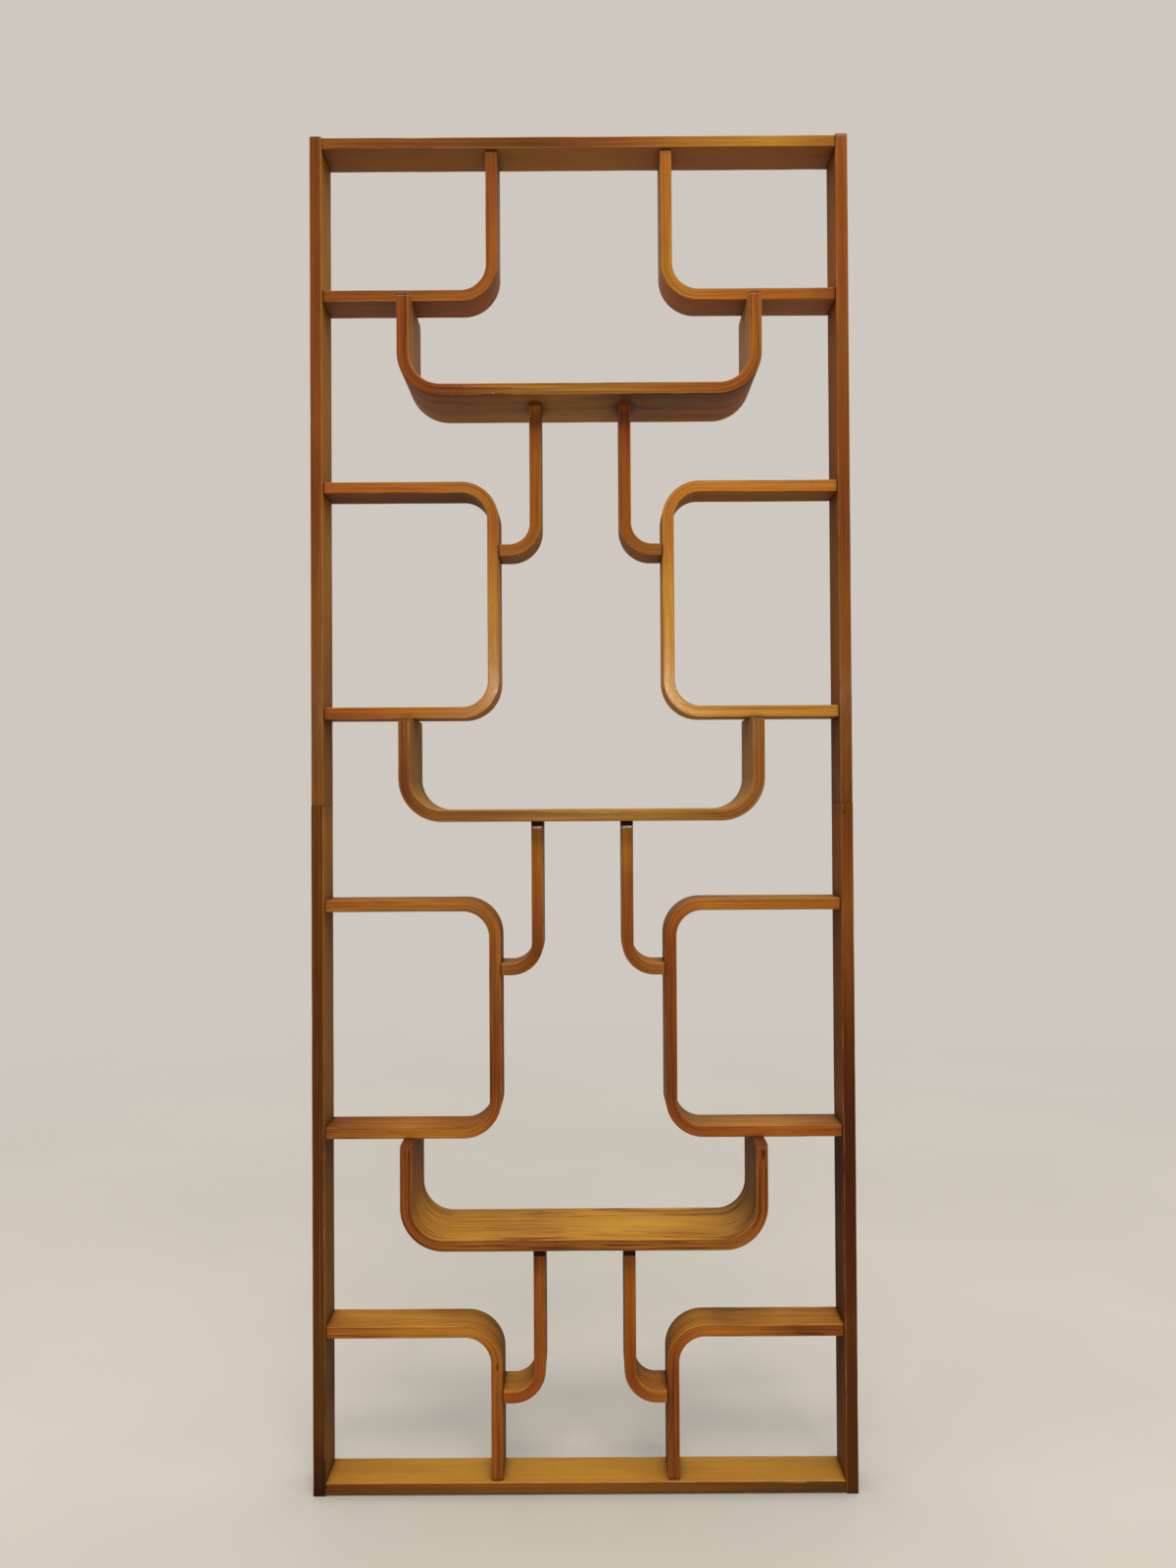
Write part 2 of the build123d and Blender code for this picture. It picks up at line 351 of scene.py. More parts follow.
def stretches_of(corners, radius):
    """The straight runs and left-hand bends through corners in the front view."""
    points = [Vector(corner) for corner in corners]
    found, done = [], 0.0
    here = points[0]
    for before, corner, after in zip(points, points[1:], points[2:] + [None]):
        heading = (corner - before).normalized()
        cut = radius if after is not None else 0.0
        run = (corner - here).length - cut
        found.append({"bend": False, "start": here, "heading": heading, "length": run, "done": done})
        done += run
        here = here + heading * run
        if after is not None:
            inward = Vector((-heading.y, heading.x))
            length = math.pi / 2 * (radius - board_thickness / 2)
            found.append({"bend": True, "centre": here + inward * radius, "spoke": -inward,
                          "radius": radius, "length": length, "done": done})
            done += length
            here = corner + (after - corner).normalized() * radius
    return found


def point_on(stretch, distance):
    """The outer face's point at a distance along a stretch, and the inward direction."""
    if not stretch["bend"]:
        heading = stretch["heading"]
        return stretch["start"] + heading * distance, Vector((-heading.y, heading.x))
    turn = Matrix.Rotation(distance / stretch["length"] * math.pi / 2, 2)
    spoke = turn @ stretch["spoke"]
    return stretch["centre"] + spoke * stretch["radius"], -spoke


def place_in_board(stretches, x, z):
    """Where a point of a board lies: along its length and in from its outer face."""
    best = None
    for stretch in stretches:
        if stretch["bend"]:
            arm = Vector((x, z)) - stretch["centre"]
            turn = stretch["spoke"].angle_signed(arm, 0.0)
            share = -turn / (math.pi / 2)
            along, inward = share * stretch["length"], stretch["radius"] - arm.length
        else:
            arm = Vector((x, z)) - stretch["start"]
            heading = stretch["heading"]
            along, inward = arm.dot(heading), arm.dot(Vector((-heading.y, heading.x)))
        outside = max(-along, along - stretch["length"], 0.0)
        outside += max(-inward, inward - board_thickness, 0.0)
        if best is None or outside < best[0] - same_distance:
            best = (outside, stretch["done"] + along, inward)
    return best[1], best[2]


def length_of(stretches):
    """The length of the whole line."""
    return stretches[-1]["done"] + stretches[-1]["length"]


def stretch_at(stretches, distance):
    """The stretch on which a distance along the whole line lies."""
    return [s for s in stretches if s["done"] <= distance + tiny or s is stretches[0]][-1]


sample = stretches_of([(0.4, 0.4), (0.1, 0.4), (0.1, 0.0), (0.4, 0.0)], loop_bend)
print("a loop's line has", len(sample), "stretches")

# %% [markdown]
# ## The section that is swept
# A sanded board has four long rounded corners, and years of handling have worn them
# unevenly. A bevel modifier would give every corner one radius, so the section is drawn
# at each station instead: a rectangle whose corner radii wander with smooth
# noise. Extra points close beside each corner keep the flat faces flat when shaded.

# %% Draw one section of a board
corner_signs = ((1, 1), (-1, 1), (-1, -1), (1, -1))
corner_steps = 5
corner_hold = 0.0006
least_corner = 0.0011
sharpest_corner = 0.00005
corner_spread = 0.0016
slow_wear, slow_scale, slow_shift = 0.7, 13.0, 9.1
quick_wear, quick_scale, quick_shift, quick_seed = 0.25, 65.0, 5.3, 40
outer_front = 2
# the corner, the middle and the reach along the board, and the extra radius
worn_places = {
    "bottom_rail": [(outer_front, 0.070, 0.060, 0.0034)],
    "bottom_tray": [(outer_front, 0.40, 0.10, 0.0014)],
}


def corner_radius(along, corner, seed, worn):
    """The worn radius of one long corner at a distance along the board."""
    slow = noise.noise(Vector((along * slow_scale, corner * slow_shift, seed)))
    quick = noise.noise(Vector((along * quick_scale, corner * quick_shift, seed + quick_seed)))
    wear = min(max(0.5 + slow_wear * slow + quick_wear * quick, 0.0), 1.0)
    radius = least_corner + corner_spread * wear * wear
    for worn_corner, middle, reach, extra in worn:
        if corner == worn_corner and abs(along - middle) < reach:
            radius += extra * (0.5 + 0.5 * math.cos((along - middle) / reach * math.pi))
    return radius


def section(thickness, half_depth, radii, inset):
    """Points of (in from the outer face, depth) round a board, with rounded corners."""
    half_in, half_out = thickness / 2 - inset, half_depth - inset
    points = []
    for corner, (sign_in, sign_out) in enumerate(corner_signs):
        radius = max(radii[corner] - inset, sharpest_corner)
        centre_in = sign_in * (half_in - radius)
        centre_out = sign_out * (half_out - radius)
        start = corner * math.pi / 2
        last = start + math.pi / 2
        ring = []
        for step in range(corner_steps + 1):
            angle = start + step / corner_steps * math.pi / 2
            ring.append((centre_in + radius * math.cos(angle), centre_out + radius * math.sin(angle)))
        before = (ring[0][0] + corner_hold * math.sin(start), ring[0][1] - corner_hold * math.cos(start))
        after = (ring[-1][0] - corner_hold * math.sin(last), ring[-1][1] + corner_hold * math.cos(last))
        points += [before] + ring + [after]
    return [(thickness / 2 + u, v) for u, v in points]


print("points in a section:", len(section(board_thickness, 0.04, [0.0015] * 4, 0.0)))

# %% [markdown]
# ## Sweeping a board
# Stations stand close together in the bends and at the ends, where the board is rounded
# over, and further apart on the straight. Joining each section to the next gives clean
# quads that any later step can cut into. The arms of the trays are also rounded in the
# side view, so near those ends the section gets narrower along a quarter circle.

# %% Sweep sections into a board
station_step = 0.008
least_step = 0.00004
bend_stations = 34
end_stations = 5
arm_stations = 9


def quarter_steps(radius, count):
    """Distances from an end that follow a quarter circle closely."""
    return [radius * (1 - math.cos(step / count * math.pi / 2)) for step in range(count + 1)]


def drawn_in(distance, radius):
    """How far a quarter-circle rounding draws the surface in at a distance from the end."""
    if distance >= radius:
        return 0.0
    return radius - math.sqrt(max(radius * radius - (radius - distance) ** 2, 0.0))


def stations_on(stretches, rounding, arm):
    """Distances along the whole line at which a section is drawn."""
    total = length_of(stretches)
    near = set(quarter_steps(rounding, end_stations))
    if arm:
        near |= set(quarter_steps(arm, arm_stations))
    stops = set(near) | {total - stop for stop in near}
    for stretch in stretches:
        count = bend_stations if stretch["bend"] else max(2, round(stretch["length"] / station_step))
        stops |= {stretch["done"] + stretch["length"] * step / count for step in range(count + 1)}
    keep = []
    for stop in sorted(stops):
        if not keep or stop - keep[-1] > least_step:
            keep.append(stop)
    keep[-1] = total
    return keep


def join_rings(bm, rings):
    """Quads between neighbouring rings of points, and a face over both ends."""
    count = len(rings[0])
    for ring, following in zip(rings, rings[1:]):
        for index in range(count):
            other = (index + 1) % count
            bm.faces.new((ring[index], ring[other], following[other], following[index]))
    bm.faces.new(rings[0][::-1])
    bm.faces.new(rings[-1])
    bmesh.ops.recalc_face_normals(bm, faces=bm.faces)


def piece_from(name, bm):
    """An object in the scene from drawn faces."""
    mesh = bpy.data.meshes.new(name)
    bm.to_mesh(mesh)
    bm.free()
    return put_in_scene(name, mesh)


def sweep(name, stretches, thickness, low_y, high_y, seed, arm, rounding, worn):
    """A board mesh along its line, between two depths, rounded over at both ends."""
    total = length_of(stretches)
    middle_y, half_depth = (low_y + high_y) / 2, (high_y - low_y) / 2
    bm = bmesh.new()
    rings = []
    for stop in stations_on(stretches, rounding, arm):
        stretch = stretch_at(stretches, stop)
        outer, inward = point_on(stretch, stop - stretch["done"])
        from_end = min(stop, total - stop)
        inset = drawn_in(from_end, rounding)
        narrow = drawn_in(from_end, arm) if arm else 0.0
        radii = [corner_radius(stop, corner, seed, worn) for corner in range(4)]
        ring = []
        for through, depth in section(thickness, half_depth - narrow, radii, inset):
            flat = outer + inward * through
            ring.append(bm.verts.new((flat.x, middle_y + depth, flat.y)))
        rings.append(ring)
    join_rings(bm, rings)
    return piece_from(name, bm)


print("sweeping ready")

# %% [markdown]
# ## Holes for the screws
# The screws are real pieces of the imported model, and their heads lie flush in the boards.
# Each needs its countersunk hole, or its head would flicker against the wood. The heads
# are found from the screws' own meshes, as separate islands, and a small turned cutter is
# taken away from the board at each of them.

# %% Find the screws and cut their holes
head_radius = 0.0041
head_rim = 0.0004
head_depth = 0.0029
shank_radius = 0.0021
cutter_depth = 0.006
cutter_sides = 40
cutter_lift = 0.001
just_under = 0.001
same_place = 1e-5


def box_of(points):
    """The lowest and the highest corner around some points."""
    low = Vector([min(point[axis] for point in points) for axis in range(3)])
    high = Vector([max(point[axis] for point in points) for axis in range(3)])
    return low, high


def islands_of(node):
    """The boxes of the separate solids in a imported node."""
    bm = bmesh.new()
    bm.from_mesh(frame["nodes"][node].data)
    bmesh.ops.remove_doubles(bm, verts=bm.verts, dist=same_place)
    left, boxes = set(bm.verts), []
    while left:
        island, edge = set(), [left.pop()]
        while edge:
            vert = edge.pop()
            island.add(vert)
            for link in vert.link_edges:
                other = link.other_vert(vert)
                if other in left:
                    left.discard(other)
                    edge.append(other)
        boxes.append(box_of([vert.co for vert in island]))
    bm.free()
    return sorted(boxes, key=lambda box: tuple(round(value, 4) for value in box[0]))


def heads_of(node, axis):
    """The middles of a node's screw heads, which all face away from the divider's middle."""
    found = []
    for low, high in islands_of(node):
        middle = (low + high) / 2
        sign = 1 if middle[axis] * 2 > cad_box[0][axis] + cad_box[1][axis] else -1
        middle[axis] = high[axis] if sign > 0 else low[axis]
        out = Vector((0, 0, 0))
        out[axis] = sign
        found.append((middle, out))
    return found


def hole_cutter(heads):
    """One mesh with a turned cutter at each screw head."""
    profile = [(shank_radius, -cutter_depth), (shank_radius, -head_depth), (head_radius, -head_rim),
               (head_radius, cutter_lift)]
    bm = bmesh.new()
    for middle, out in heads:
        turned = out.to_track_quat("Z", "Y").to_matrix()
        rings = []
        for radius, height in profile:
            ring = []
            for step in range(cutter_sides):
                angle = step / cutter_sides * 2 * math.pi
                local = Vector((radius * math.cos(angle), radius * math.sin(angle), height))
                ring.append(bm.verts.new(middle + turned @ local))
            rings.append(ring)
        join_rings(bm, rings)
    return piece_from("hole_cutter", bm)


def cut_away(piece, cutter):
    """Takes a cutter out of a piece and throws the cutter away."""
    modifier = piece.modifiers.new("cut", "BOOLEAN")
    modifier.operation = "DIFFERENCE"
    modifier.solver = "EXACT"
    modifier.object = cutter
    bpy.context.view_layer.update()
    graph = bpy.context.evaluated_depsgraph_get()
    mesh = bpy.data.meshes.new_from_object(piece.evaluated_get(graph))
    piece.modifiers.clear()
    old = piece.data
    piece.data = mesh
    bpy.data.meshes.remove(old)
    bpy.data.objects.remove(cutter)


def holes_in(piece):
    """Cuts the holes of all the screw heads that lie in a board's outer faces."""
    low, high = box_of([vertex.co for vertex in piece.data.vertices])
    near = []
    for middle, out in screw_heads:
        inside = middle - out * just_under
        if all(low[axis] < inside[axis] < high[axis] for axis in range(3)):
            near.append((middle, out))
    if near:
        cut_away(piece, hole_cutter(near))
    return len(near)


# the axis along which the heads of each node face: 0 is X and 2 is Z
head_axes = {"right_side_screws": 0, "left_side_screws": 0, "rail_screws": 2, "hook_screws": 0}
screw_heads = []
for node, axis in head_axes.items():
    screw_heads += heads_of(node, axis)
print("screw heads found:", len(screw_heads))

# %% [markdown]
# ## A chip and a crack
# One arm of the bottom tray has lost an oval chip from its front edge, and one lower
# bracket has a short crack in its leg. Painted marks would stay flat from the side, so
# both are real hollows: an uneven oval body is taken out of the front edge, and the same
# two places are darkened later in the finish.

# %% Cut the chip and the crack
# the place in the front view, the half width and half height, and the depth
dents = {
    "bottom_tray": [(0.2778, 0.5420, 0.0026, 0.0095, 0.0022)],
    "left_lower_bracket": [(-0.1385, 0.1975, 0.0009, 0.0065, 0.0030)],
}
dent_unevenness, dent_lumps, dent_seed = 0.28, 2.3, 90


def dent_cutter(place, half_width, half_height, depth, seed):
    """An uneven oval body around a place on a front edge."""
    bm = bmesh.new()
    bmesh.ops.create_icosphere(bm, subdivisions=4, radius=1.0)
    for vertex in bm.verts:
        lump = noise.noise(vertex.co * dent_lumps + Vector((seed, 0, 0)))
        co = vertex.co * (1.0 + dent_unevenness * lump)
        vertex.co = place + Vector((co.x * half_width, co.y * depth, co.z * half_height))
    return piece_from("dent_cutter", bm)


def dents_in(piece, node, front):
    """Cuts a board's dents into its front edge."""
    board_dents = dents.get(node, ())
    for x, z, half_width, half_height, depth in board_dents:
        place = Vector((x, front, z))
        cut_away(piece, dent_cutter(place, half_width, half_height, depth, x * dent_seed))
    return len(board_dents)


print("boards with dents:", len(dents))

# %% [markdown]
# ## Telling the shader where it is on the board
# Grain that is projected through a bent board looks carved from a block. Laminated grain
# follows the bend instead, and each veneer has its own. So every vertex stores where it
# lies in the flat stack before bending: how far along, how far across, and how deep. Two
# more numbers say how rounded the corner is there and how much of the cut end shows.


# %% Store the place on the board
flat_tilt = 0.15
corner_fade = 0.5
rim_depth = 0.0007
hole_reach = 1.5
dent_reach = 1.35
sharp_angle = math.radians(38)


def is_in_dent(place, node, front):
    """Whether a point lies in or close around a dent of a board."""
    for x, z, half_width, half_height, depth in dents.get(node, ()):
        away = place - Vector((x, front, z))
        away = Vector((away.x / half_width, away.y / depth, away.z / half_height))
        if away.length < dent_reach:
            return True
    return False


def end_and_corner(vertex, inner, mirrored):
    """How much of the cut end shows at a vertex, and how rounded its corner is."""
    normal = vertex.normal
    flat = Vector((-normal.x if mirrored else normal.x, normal.z))
    lengthwise = abs(flat.dot(Vector((inner.y, -inner.x))))
    tilt = min(abs(flat.dot(inner)), math.hypot(normal.y, lengthwise))
    corner = min(max((tilt - flat_tilt) / corner_fade, 0.0), 1.0)
    for middle, out in screw_heads:
        away = vertex.co - middle
        if away.length < head_radius * hole_reach:
            return float(-away.dot(out) > rim_depth), 0.0
    return lengthwise, corner


def store_places(piece, node, stretches, front, mirrored):
    """Writes the board's own coordinates, its corners and its cut ends on the mesh."""
    mesh = piece.data
    places, ends, corners = [], [], []
    for vertex in mesh.vertices:
        x = -vertex.co.x if mirrored else vertex.co.x
        along, inward = place_in_board(stretches, x, vertex.co.z)
        places += [along, vertex.co.y, inward]
        stretch = stretch_at(stretches, along)
        inner = point_on(stretch, along - stretch["done"])[1]
        end, corner = end_and_corner(vertex, inner, mirrored)
        whole = not is_in_dent(vertex.co, node, front)
        ends.append(end * whole)
        corners.append(corner * whole)
    mesh.attributes.new("grain", "FLOAT_VECTOR", "POINT").data.foreach_set("vector", places)
    mesh.attributes.new("cut_end", "FLOAT", "POINT").data.foreach_set("value", ends)
    mesh.attributes.new("corner", "FLOAT", "POINT").data.foreach_set("value", corners)


def sharpen(mesh):
    """Smooth shading everywhere but across steep edges."""
    bm = bmesh.new()
    bm.from_mesh(mesh)
    for face in bm.faces:
        face.smooth = True
    for edge in bm.edges:
        steep = len(edge.link_faces) == 2 and edge.calc_face_angle(0.0) > sharp_angle
        edge.smooth = not steep
    bm.to_mesh(mesh)
    bm.free()


print("board coordinates ready")

# %% [markdown]
# ## The lacquered wood
# The boards are a warm brown hardwood under a thin satin lacquer. What makes it read as
# wood is layered: long fibres, streaks, dark lines, slow clouds of lighter and darker
# colour, and here and there a figure of nested arches. On the edges the same noises are
# sliced veneer by veneer, so fine lines follow the bend, and some glue lines show dark.
# Cut ends drink more lacquer and turn dark, rubbed corners are a little paler, grime has
# gathered round the ends that touch another board, and the nooks where boards meet are
# darkened as painted shade. Faces also get darker towards the back, which is painted shade
# too. The colour isn't painted from a list of browns: one number says how light the wood
# is, a second one how golden, and two ramps, a red and a golden one, turn them into a brown.

# %% Choose the browns
veneer = 0.00185
veneer_start, veneer_wander = 0.35, 0.12
reds = ((0.00, (0.018, 0.005, 0.001)), (0.25, (0.062, 0.015, 0.003)), (0.45, (0.185, 0.046, 0.007)),
        (0.60, (0.310, 0.082, 0.009)), (0.78, (0.450, 0.138, 0.014)), (1.00, (0.570, 0.215, 0.027)))
golds = ((0.00, (0.022, 0.008, 0.002)), (0.25, (0.070, 0.029, 0.006)), (0.45, (0.190, 0.086, 0.014)),
         (0.60, (0.315, 0.148, 0.017)), (0.78, (0.460, 0.232, 0.026)), (1.00, (0.600, 0.345, 0.055)))
dark_brown = (0.045, 0.013, 0.004, 1.0)
end_brown = (0.085, 0.022, 0.006, 1.0)
worn_brown = (0.500, 0.225, 0.060, 1.0)
# dark brown for grime at the ends and for marks, and also for painted shade in the nooks and for painted
# shadows
grime_and_shade_brown = (0.022, 0.009, 0.003, 1.0)
edge_roughness, face_roughness = 0.13, 0.65
print("browns in a ramp:", len(reds))

# %% [markdown]
# ## The noises in the wood
# A noise becomes grain when it is stretched: many changes across a board and few along
# it. Each noise below has three numbers, which say how often it changes in a metre
# along, across and through the board. Where the third is 0, the pattern is the same
# all through a veneer. The spans then choose which part of a noise shows, and how much.

# %% Choose the noises and their spans
board_noises = {
    "wander": ((5.0, 9.0, 0.0), {"detail": 1.0}),
    "fibre": ((16.0, 620.0, 620.0), {"detail": 3.0, "roughness": 0.6}),
    "streak": ((4.0, 170.0, 330.0), {"detail": 3.0, "roughness": 0.6}),
    "drift": ((1.5, 5.0, 0.0), {"detail": 1.0}),
    "thin_line": ((10.0, 430.0, 430.0), {"distortion": 0.3}),
    "broad_line": ((6.0, 105.0, 0.0), {"distortion": 0.3}),
    "band": ((3.5, 30.0, 0.0), {"detail": 1.0}),
    "tint": ((2.1, 6.0, 0.0), {}),
    "pores": ((70.0, 1500.0, 1500.0), {"detail": 1.0}),
    "rub": ((24.0, 40.0, 0.0), {"detail": 3.0}),
    "ragged": ((300.0, 300.0, 300.0), {}),
    "wave": ((22.0, 60.0, 0.0), {"detail": 1.0}),
}
cloud_along, cloud_across, cloud_through, cloud_twist = 3.1, 11.0, 0.10, 0.6
glue_patch_along = 3.0
arch_bend, arch_count = 34.0, 150.0
board_shift, sheet_shift, thin_shift, broad_shift, tint_shift = 3.7, 7.31, 31.0, 47.0, 9.0
fibre_weight, cloud_weight, streak_weight, lined_cloud = 0.26, 0.44, 0.32, -0.75
wander_span = (0.2, 0.8, veneer_start - veneer_wander, veneer_start + veneer_wander)
thin_on_edge, thin_on_face, broad_on_face = -1.0, -0.1, -0.6
tint_weight, line_redness = 1.3, 3.0
# how much darker the wood gets towards the back, per metre: painted shade
back_shade = -0.6
face_tone_share = 0.3
face_span = (0.0004, 0.0018, 1.0, 0.0)
outer_half_span = (0.006, 0.012, 1.0, 0.0)
outward_span = (0.012, 0.050, 0.30, 1.0)
line_span = (0.55, 0.63)
band_span = (0.40, 0.60, 0.35, 1.0)
pore_span = (0.62, 0.74)
glue_span = (0.02, 0.16, 1.0, 0.0)
glue_patch_span = (0.46, 0.66, 0.08, 0.75)
cut_end_span = (0.10, 0.55, 0.0, 0.85)
rub_span = (0.44, 0.62, 0.0, 0.40)
# how far the ambient occlusion looks for other boards, and how dark the nooks get: painted shade
nook_shade_reach, nook_shade_span = 0.016, (0.30, 0.95, 0.50, 0.0)
snug_span = (-0.0008, 0.0012, 0.6, 0.0)
spot_span = (0.9, 1.3, 1.0, 0.0)
print("noises on a board:", len(board_noises))


# %% Read the place on the board
class BoardPlace:
    """What a finish can know of its place on a board, as numbers from nodes."""

    def __init__(self, w, seed, thickness, length):
        self.w, self.seed = w, seed
        stored = w.add("Attribute", {"attribute_name": "grain"}).outputs["Vector"]
        from_first, self.across, self.through = w.add("SeparateXYZ", Vector=stored).outputs
        self.share = w.math("DIVIDE", from_first, length)
        self.from_last = w.minus(length, from_first)
        self.from_end = w.math("MINIMUM", from_first, self.from_last)
        self.along = w.plus(from_first, seed * board_shift)
        depth = w.math("DIVIDE", self.through, thickness / round(thickness / veneer))
        depth = w.plus(depth, w.span(self.noise("wander", seed), *wander_span))
        self.sheet = w.times(w.math("FLOOR", depth), sheet_shift)
        in_sheet = w.math("FRACT", depth)
        self.from_glue = w.math("MINIMUM", in_sheet, w.minus(1.0, in_sheet))
        skin = w.math("MINIMUM", self.through, w.minus(thickness, self.through))
        self.face = w.span(skin, *face_span)
        self.cut_end = w.add("Attribute", {"attribute_name": "cut_end"}).outputs["Fac"]
        self.corner = w.add("Attribute", {"attribute_name": "corner"}).outputs["Fac"]

    def noise(self, kind, shift=0.0):
        """One of the named noises, stretched along the board and shifted across it."""
        w = self.w
        (along, across, through), settings = board_noises[kind]
        place = w.vector(w.times(self.along, along), w.times_plus(self.across, across, shift),
                         w.times(self.through, through))
        return w.noise(place, **settings)

    def centred(self, part):
        """A noise brought round 0."""
        return self.w.minus(part, 0.5)

    def edge_to_face(self, on_edge, on_face):
        """A number that is one thing on the edges and another on the faces."""
        return self.w.times_plus(self.face, on_face - on_edge, on_edge)


print("places on a board ready")


# %% Mix the colour of the wood
def line_darkness(at, lines):
    """What the dark lines take off the lightness, thin ones and, on faces, broad ones."""
    w = at.w
    outward = w.span(w.math("ABSOLUTE", at.across), *outward_span)
    thin = w.span(at.noise("thin_line", w.plus(at.sheet, thin_shift)), *line_span)
    thin = w.times(thin, w.span(at.noise("band", at.sheet), *band_span))
    weight = w.times_plus(at.face, thin_on_face * lines, thin_on_edge * lines)
    thin = w.times(w.times(thin, outward), weight)
    broad = w.span(at.noise("broad_line", w.plus(at.sheet, broad_shift)), *line_span)
    broad = w.times(w.times(broad, outward), w.times(at.face, broad_on_face * lines))
    return w.plus(thin, broad)


def wood_value(at, dress):
    """How light the wood is at a place, from 0 to 1, and the noises that say so."""
    w = at.w
    shade, _, face_lift, _ = dress["look"]
    figure, contrast, lines = dress["grain"]
    arches = w.times_plus(at.noise("drift", at.sheet), arch_bend, w.times(at.across, arch_count))
    value = w.times_plus(w.math("SINE", arches), figure, shade)
    # darker or lighter from front to back: painted shade
    outer_shade_slope, inner_shade_slope = dress["shade_slopes"]
    outer_half = w.span(at.through, *outer_half_span)
    extra_shade_slope = w.times_plus(outer_half, outer_shade_slope - inner_shade_slope, inner_shade_slope - back_shade)
    value = w.times_plus(at.across, w.times_plus(at.face, extra_shade_slope, back_shade), value)
    value = w.times_plus(at.face, face_lift, value)
    fibre = at.noise("fibre", at.sheet)
    cloud = w.noise(w.vector(w.times(at.along, cloud_along), w.times(at.across, cloud_across),
                             w.times(at.sheet, cloud_through)), distortion=cloud_twist)
    cloudy = w.times_plus(at.face, lined_cloud * lines * contrast, cloud_weight * contrast)
    value = w.times_plus(at.centred(fibre), fibre_weight * contrast, value)
    value = w.times_plus(at.centred(cloud), cloudy, value)
    value = w.times_plus(at.centred(at.noise("streak", at.sheet)), streak_weight * contrast, value)
    dark_lines = line_darkness(at, lines)
    return w.plus(value, dark_lines), dark_lines, fibre, cloud


def wood_colour(at, value, dark_lines, dress):
    """A brown from the red and the golden ramp, with the tones along the board mixed in."""
    w = at.w
    _, gold, _, face_gold = dress["look"]
    tint = at.noise("tint", at.seed + tint_shift)
    golden = w.times_plus(at.centred(tint), tint_weight, gold)
    golden = w.times_plus(at.face, face_gold, golden)
    golden = w.times_plus(dark_lines, line_redness, golden)
    for table, weight in ((dress["tones"], at.edge_to_face(1.0, face_tone_share)),
                          (dress["face_tones"], at.face)):
        if table:
            stops = []
            for share, lift, gilt in table:
                stops.append((share / 100, (0.5 + lift / 100, 0.5 + gilt / 100, 0.0)))
            tone = w.add("SeparateXYZ", Vector=w.ramp(at.share, stops)).outputs
            value = w.times_plus(at.centred(tone[0]), weight, value)
            golden = w.times_plus(at.centred(tone[1]), weight, golden)
    golden = w.math("ADD", golden, 0.0, clamp=True)
    return w.mix(golden, w.ramp(value, reds), w.ramp(value, golds))


print("colour of the wood ready")


# %% Build the whole wood finish
pore_darkness = 0.35
ragged_end, ragged_spot = -0.0035, 0.8
fibre_rise, pore_rise, glue_rise = 0.5, -0.6, -0.5
grain_relief, wave_relief = (0.00012, 0.55), (0.0007, 0.22)
cloud_roughness, cut_roughness, rub_roughness = 0.16, 0.20, 0.10


def add_grime_and_shade(at, colour, dress):
    """Painted shade in the nooks, grime round the ends that touch a board, and the small marks and painted
    shadows.
    """
    w = at.w
    ragged = at.noise("ragged")
    # the nooks are darkened where other boards are close by: painted shade
    nook_shade = w.add("AmbientOcclusion", {"samples": 6}, Distance=nook_shade_reach).outputs["AO"]
    grime = w.span(nook_shade, *nook_shade_span)
    if dress["snug"]:
        near_end = at.from_end if dress["snug"] == "both ends" else at.from_last
        near_end = w.times_plus(ragged, ragged_end, near_end)
        grime = w.math("MAXIMUM", grime, w.span(near_end, *snug_span))
    colour = w.mix(grime, colour, grime_and_shade_brown)
    # the small marks, and the painted shadows of the hooks under the top tray
    for centre, reach, depth in dress["marks_and_shadows"]:
        away = w.vector_math("SUBTRACT", w.add("TexCoord").outputs["Object"], centre)
        away = w.vector_math("LENGTH", w.vector_math("DIVIDE", away, reach))
        spot = w.span(w.times_plus(ragged, ragged_spot, away), *spot_span)
        colour = w.mix(w.times(spot, depth), colour, grime_and_shade_brown)
    return colour


def wood_finish(name, seed, thickness, length, dress):
    """Lacquered laminated wood whose grain follows the board."""
    material = bpy.data.materials.new(name)
    w = Wires(material)
    at = BoardPlace(w, seed, thickness, length)
    value, dark_lines, fibre, cloud = wood_value(at, dress)
    colour = wood_colour(at, value, dark_lines, dress)
    pores = w.span(at.noise("pores", at.sheet), *pore_span)
    colour = w.mix(w.times(pores, pore_darkness), colour, dark_brown)
    glue_patch = w.noise(w.vector(w.times(at.along, glue_patch_along), at.sheet, seed))
    glue = w.times(w.span(at.from_glue, *glue_span), w.span(glue_patch, *glue_patch_span))
    colour = w.mix(glue, colour, dark_brown)
    cut_end = w.span(at.cut_end, *cut_end_span)
    colour = w.mix(cut_end, colour, end_brown)
    rub = w.times(at.corner, w.span(at.noise("rub", at.sheet), *rub_span))
    colour = add_grime_and_shade(at, w.mix(rub, colour, worn_brown), dress)

    height = w.times_plus(pores, pore_rise, w.times(fibre, fibre_rise))
    height = w.times_plus(glue, glue_rise, height)
    normal = w.bump(height, *grain_relief)
    normal = w.bump(at.noise("wave", seed), *wave_relief, Normal=normal)
    rough = w.times_plus(at.face, face_roughness - edge_roughness, edge_roughness - cloud_roughness / 2)
    for part, weight in ((cloud, cloud_roughness), (cut_end, cut_roughness), (rub, rub_roughness)):
        rough = w.times_plus(part, weight, rough)
    edge_gloss, face_gloss = dress["gloss"]
    gloss = edge_gloss if edge_gloss == face_gloss else at.edge_to_face(edge_gloss, face_gloss)
    shader = w.add("BsdfPrincipled", Base_Color=colour, Roughness=rough, Normal=normal,
                   Specular_IOR_Level=gloss)
    w.end(shader.outputs[0])
    return material


print("wood finish ready")
